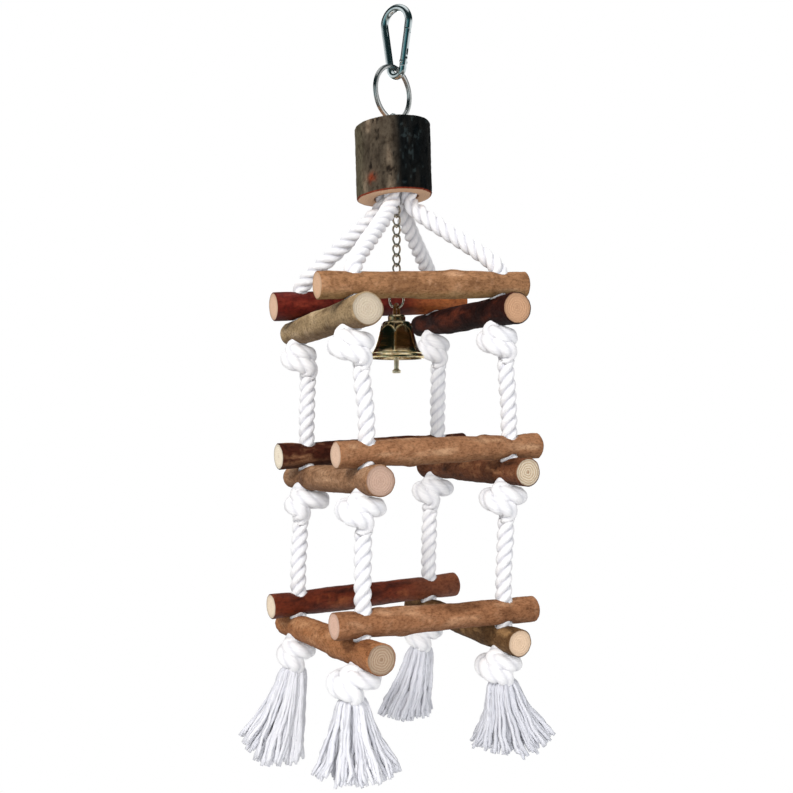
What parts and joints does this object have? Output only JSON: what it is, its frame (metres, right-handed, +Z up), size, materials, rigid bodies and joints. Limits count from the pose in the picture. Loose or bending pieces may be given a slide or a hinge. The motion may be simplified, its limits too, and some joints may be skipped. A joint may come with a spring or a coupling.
{
  "type": "hanging bird climbing toy",
  "caption": "Hanging rope ladder tower for pet birds: square tiers of bark sticks knotted onto cotton ropes under a drilled branch slice, with a snap hook, chain, bell and tassels.",
  "frame": {"origin": "inside top of the snap hook, the point that the toy hangs from", "axes": "+Z up, +X along the front sticks from left to right, +Y from the front sticks to the back ones"},
  "size_m": [0.1347, 0.1196, 0.405],
  "materials": {
    "zinc_plated_steel": "bright zinc plating",
    "nickel_steel": "nickel plating",
    "brass": "polished",
    "white_cotton": "undyed three-strand cotton",
    "block_bark": "natural bark, sawn faces",
    "tan_bark": "natural bark, sawn faces",
    "red_bark": "natural bark, sawn faces",
    "dark_bark": "natural bark, sawn faces",
    "olive_bark": "natural bark, sawn faces"
  },
  "bodies": {
    "carabiner": {"carabiner_hook": "zinc_plated_steel", "gate_rivet": "zinc_plated_steel"},
    "gate": {"carabiner_gate": "zinc_plated_steel", "gate_spring": "nickel_steel"},
    "ring": {"split_ring": "nickel_steel"},
    "block": {"hanger_block": "block_bark", "top_screw_eye": "zinc_plated_steel", "bottom_screw_eye": "zinc_plated_steel"},
    "tier_1": {"rope_fl_1": "white_cotton", "rope_fr_1": "white_cotton", "rope_bl_1": "white_cotton", "rope_br_1": "white_cotton", "knot_fl_1": "white_cotton", "knot_fr_1": "white_cotton", "knot_bl_1": "white_cotton", "knot_br_1": "white_cotton", "tier_1_front_stick": "tan_bark", "tier_1_back_stick": "red_bark", "tier_1_left_stick": "olive_bark", "tier_1_right_stick": "dark_bark"},
    "tier_2_knots": {"rope_fl_2": "white_cotton", "rope_fr_2": "white_cotton", "rope_bl_2": "white_cotton", "rope_br_2": "white_cotton", "knot_fl_2": "white_cotton", "knot_fr_2": "white_cotton", "knot_bl_2": "white_cotton", "knot_br_2": "white_cotton"},
    "tier_2_side_sticks": {"tier_2_left_stick": "olive_bark", "tier_2_right_stick": "dark_bark"},
    "tier_2_front_stick": {"tier_2_front_stick": "tan_bark"},
    "tier_2_back_stick": {"tier_2_back_stick": "dark_bark"},
    "tier_3_knots": {"rope_fl_3": "white_cotton", "rope_fr_3": "white_cotton", "rope_bl_3": "white_cotton", "rope_br_3": "white_cotton", "knot_fl_3": "white_cotton", "knot_fr_3": "white_cotton", "knot_bl_3": "white_cotton", "knot_br_3": "white_cotton"},
    "tier_3_side_sticks": {"tier_3_left_stick": "red_bark", "tier_3_right_stick": "dark_bark"},
    "tier_3_front_stick": {"tier_3_front_stick": "tan_bark"},
    "tier_3_back_stick": {"tier_3_back_stick": "red_bark"},
    "tassel_fl": {"tassel_fl": "white_cotton"},
    "tassel_fr": {"tassel_fr": "white_cotton"},
    "tassel_bl": {"tassel_bl": "white_cotton"},
    "tassel_br": {"tassel_br": "white_cotton"},
    "link_1": {"chain_link_1": "nickel_steel"},
    "link_2": {"chain_link_2": "nickel_steel"},
    "link_3": {"chain_link_3": "nickel_steel"},
    "link_4": {"chain_link_4": "nickel_steel"},
    "link_5": {"chain_link_5": "nickel_steel"},
    "link_6": {"chain_link_6": "nickel_steel"},
    "link_7": {"chain_link_7": "nickel_steel"},
    "link_8": {"chain_link_8": "nickel_steel"},
    "link_9": {"chain_link_9": "nickel_steel"},
    "bell_ring": {"bell_ring": "zinc_plated_steel"},
    "bell": {"bell": "brass"},
    "clapper": {"clapper": "brass"}
  },
  "joints": [
    {"name": "gate_hinge", "type": "hinge", "parent": "carabiner", "child": "gate", "pos_m": [0.00206, -0.00404, -0.0276], "axis": [-0.891, -0.454, 0], "range_deg": [0, 25], "stiffness_Nm_per_rad": 0.01, "springref_deg": -17.19},
    {"name": "ring_swing", "type": "hinge", "parent": "carabiner", "child": "ring", "pos_m": [0, 0, -0.0345], "axis": [0.454, -0.891, 0], "range_deg": [-30, 30]},
    {"name": "block_swing", "type": "hinge", "parent": "ring", "child": "block", "pos_m": [-0.00291, -0.00133, -0.0577], "axis": [0.91, 0.4147, 0], "range_deg": [-25, 25]},
    {"name": "tier_1_twist", "type": "hinge", "parent": "block", "child": "tier_1", "pos_m": [0, 0, -0.101], "axis": [0, 0, 1], "range_deg": [-20, 20], "stiffness_Nm_per_rad": 0.0126},
    {"name": "tier_2_twist", "type": "hinge", "parent": "tier_1", "child": "tier_2_knots", "pos_m": [0, 0, -0.2], "axis": [0, 0, 1], "range_deg": [-15, 15], "stiffness_Nm_per_rad": 0.07, "deforming": ["rope_fl_2", "rope_fr_2", "rope_bl_2", "rope_br_2"]},
    {"name": "tier_3_twist", "type": "hinge", "parent": "tier_2_knots", "child": "tier_3_knots", "pos_m": [0, 0, -0.28], "axis": [0, 0, 1], "range_deg": [-15, 15], "stiffness_Nm_per_rad": 0.05, "deforming": ["rope_fl_3", "rope_fr_3", "rope_bl_3", "rope_br_3"]},
    {"name": "tier_2_side_sticks_lift", "type": "slide", "parent": "tier_2_knots", "child": "tier_2_side_sticks", "axis": [0, 0, 1], "range_m": [0, 0.004]},
    {"name": "tier_2_front_stick_lift", "type": "slide", "parent": "tier_2_side_sticks", "child": "tier_2_front_stick", "axis": [0, 0, 1], "range_m": [0, 0.004]},
    {"name": "tier_2_back_stick_lift", "type": "slide", "parent": "tier_2_side_sticks", "child": "tier_2_back_stick", "axis": [0, 0, 1], "range_m": [0, 0.004]},
    {"name": "tier_3_side_sticks_lift", "type": "slide", "parent": "tier_3_knots", "child": "tier_3_side_sticks", "axis": [0, 0, 1], "range_m": [0, 0.004]},
    {"name": "tier_3_front_stick_lift", "type": "slide", "parent": "tier_3_side_sticks", "child": "tier_3_front_stick", "axis": [0, 0, 1], "range_m": [0, 0.004]},
    {"name": "tier_3_back_stick_lift", "type": "slide", "parent": "tier_3_side_sticks", "child": "tier_3_back_stick", "axis": [0, 0, 1], "range_m": [0, 0.004]},
    {"name": "tassel_fl_swing", "type": "hinge", "parent": "tier_3_knots", "child": "tassel_fl", "pos_m": [-0.04295, -0.03947, -0.35808], "axis": [0, 1, 0], "range_deg": [-20, 20], "stiffness_Nm_per_rad": 0.004},
    {"name": "tassel_fr_swing", "type": "hinge", "parent": "tier_3_knots", "child": "tassel_fr", "pos_m": [0.04176, -0.03843, -0.35735], "axis": [0, 1, 0], "range_deg": [-20, 20], "stiffness_Nm_per_rad": 0.004},
    {"name": "tassel_bl_swing", "type": "hinge", "parent": "tier_3_knots", "child": "tassel_bl", "pos_m": [-0.0431, 0.03696, -0.35648], "axis": [0, 1, 0], "range_deg": [-20, 20], "stiffness_Nm_per_rad": 0.004},
    {"name": "tassel_br_swing", "type": "hinge", "parent": "tier_3_knots", "child": "tassel_br", "pos_m": [0.03531, 0.04106, -0.353], "axis": [0, 1, 0], "range_deg": [-20, 20], "stiffness_Nm_per_rad": 0.004},
    {"name": "link_1_swing", "type": "hinge", "parent": "block", "child": "link_1", "pos_m": [0, 0, -0.104], "axis": [1, 0, 0], "range_deg": [-15, 15]},
    {"name": "link_2_swing", "type": "hinge", "parent": "link_1", "child": "link_2", "pos_m": [0, 0, -0.1092], "axis": [0, 1, 0], "range_deg": [-12, 12]},
    {"name": "link_3_swing", "type": "hinge", "parent": "link_2", "child": "link_3", "pos_m": [0, 0, -0.1144], "axis": [-1, 0, 0], "range_deg": [-12, 12]},
    {"name": "link_4_swing", "type": "hinge", "parent": "link_3", "child": "link_4", "pos_m": [0, 0, -0.1196], "axis": [0, -1, 0], "range_deg": [-12, 12]},
    {"name": "link_5_swing", "type": "hinge", "parent": "link_4", "child": "link_5", "pos_m": [0, 0, -0.1248], "axis": [1, 0, 0], "range_deg": [-12, 12]},
    {"name": "link_6_swing", "type": "hinge", "parent": "link_5", "child": "link_6", "pos_m": [0, 0, -0.13], "axis": [0, 1, 0], "range_deg": [-12, 12]},
    {"name": "link_7_swing", "type": "hinge", "parent": "link_6", "child": "link_7", "pos_m": [0, 0, -0.1352], "axis": [-1, 0, 0], "range_deg": [-12, 12]},
    {"name": "link_8_swing", "type": "hinge", "parent": "link_7", "child": "link_8", "pos_m": [0, 0, -0.1404], "axis": [0, -1, 0], "range_deg": [-12, 12]},
    {"name": "link_9_swing", "type": "hinge", "parent": "link_8", "child": "link_9", "pos_m": [0, 0, -0.1456], "axis": [1, 0, 0], "range_deg": [-12, 12]},
    {"name": "bell_ring_swing", "type": "hinge", "parent": "link_9", "child": "bell_ring", "pos_m": [0, 0, -0.1508], "axis": [1, 0, 0], "range_deg": [-15, 15]},
    {"name": "bell_swing", "type": "hinge", "parent": "bell_ring", "child": "bell", "pos_m": [0, 0, -0.1578], "axis": [0, 1, 0], "range_deg": [-15, 15]},
    {"name": "clapper_swing", "type": "hinge", "parent": "bell", "child": "clapper", "pos_m": [0, 0, -0.1679], "axis": [1, 0, 0], "range_deg": [-25, 25]}
  ]
}
